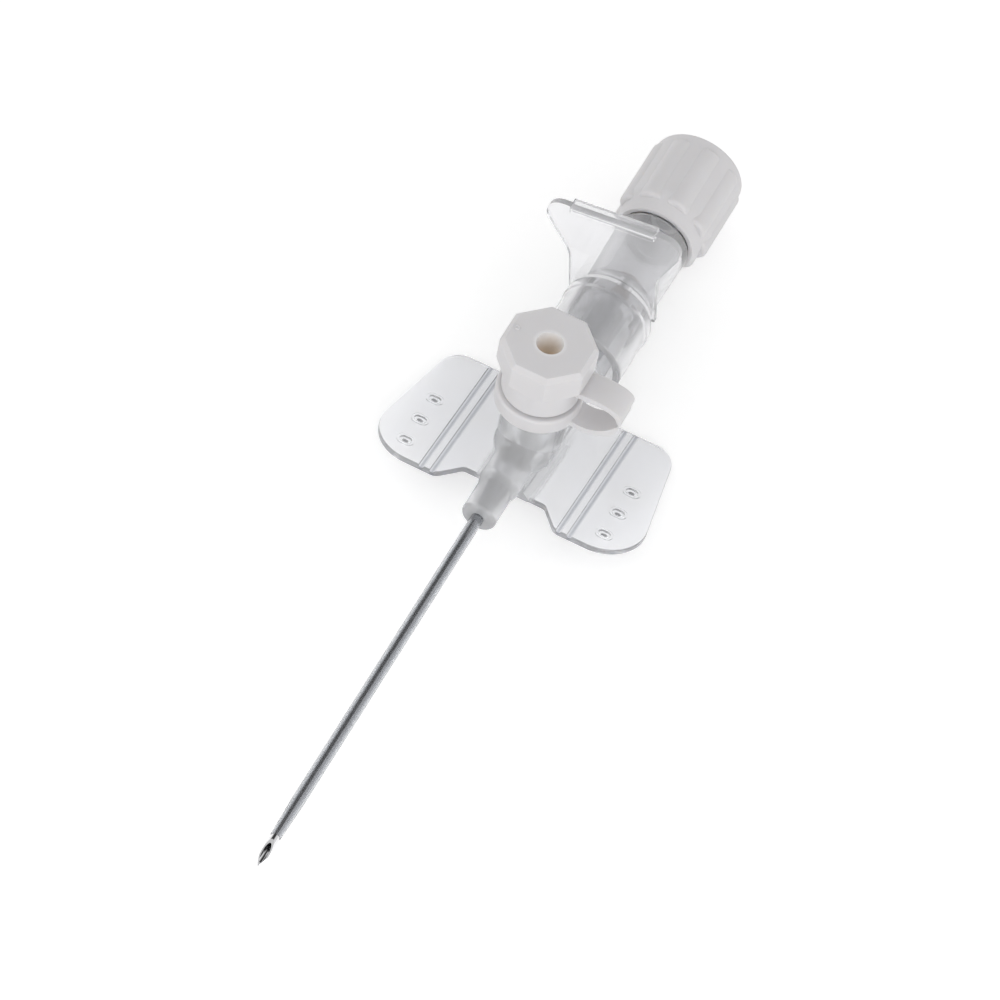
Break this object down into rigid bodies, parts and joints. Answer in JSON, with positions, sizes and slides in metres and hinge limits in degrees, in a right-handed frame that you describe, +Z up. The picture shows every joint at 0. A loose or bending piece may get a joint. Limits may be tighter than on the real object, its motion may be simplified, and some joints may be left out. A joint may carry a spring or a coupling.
{
  "type": "iv cannula",
  "caption": "Over-the-needle IV cannula with an injection port under a hinged cap, flexible wings, a clear needle hub with flash chamber and a ribbed rear cap.",
  "frame": {"origin": "centre of the front face of the hub nose, where the catheter leaves it", "axes": "+X back along the catheter to the rear cap, +Z up through the injection port, +Y across the wings"},
  "size_m": [0.1038, 0.031, 0.0221],
  "materials": {
    "needle_steel": "polished stainless steel",
    "catheter_plastic": "clear fluoropolymer tube",
    "hub_plastic": "milky translucent polypropylene",
    "valve_silicone": "satin silicone",
    "cap_plastic": "white polypropylene",
    "clear_plastic": "clear moulded plastic",
    "bond_glue": "cured adhesive",
    "filter_fibre": "porous sintered plastic"
  },
  "bodies": {
    "hub": {"catheter_hub": "hub_plastic", "catheter_tube": "catheter_plastic", "catheter_ferrule": "needle_steel", "valve_sleeve": "valve_silicone"},
    "needle_set": {"needle": "needle_steel", "needle_hub": "clear_plastic", "needle_bond": "bond_glue"},
    "rear_cap_set": {"rear_cap": "cap_plastic", "vent_filter": "filter_fibre"},
    "port_ring": {"port_cap_ring": "cap_plastic"},
    "port_lid": {"port_cap_lid": "cap_plastic"}
  },
  "joints": [
    {"name": "needle_withdraw", "type": "slide", "parent": "hub", "child": "needle_set", "axis": [1, 0, 0], "range_m": [0, 0.085]},
    {"name": "rear_cap_pull", "type": "slide", "parent": "needle_set", "child": "rear_cap_set", "axis": [1, 0, 0], "range_m": [0, 0.012]},
    {"name": "port_ring_turn", "type": "hinge", "parent": "hub", "child": "port_ring", "pos_m": [0.0124, 0, 0.0075], "axis": [0, 0, 1], "range_deg": [-35, 35]},
    {"name": "port_lid_swing", "type": "hinge", "parent": "port_ring", "child": "port_lid", "pos_m": [0.0124, -0.0094, 0.01], "axis": [1, 0, 0], "range_deg": [0, 120]}
  ]
}
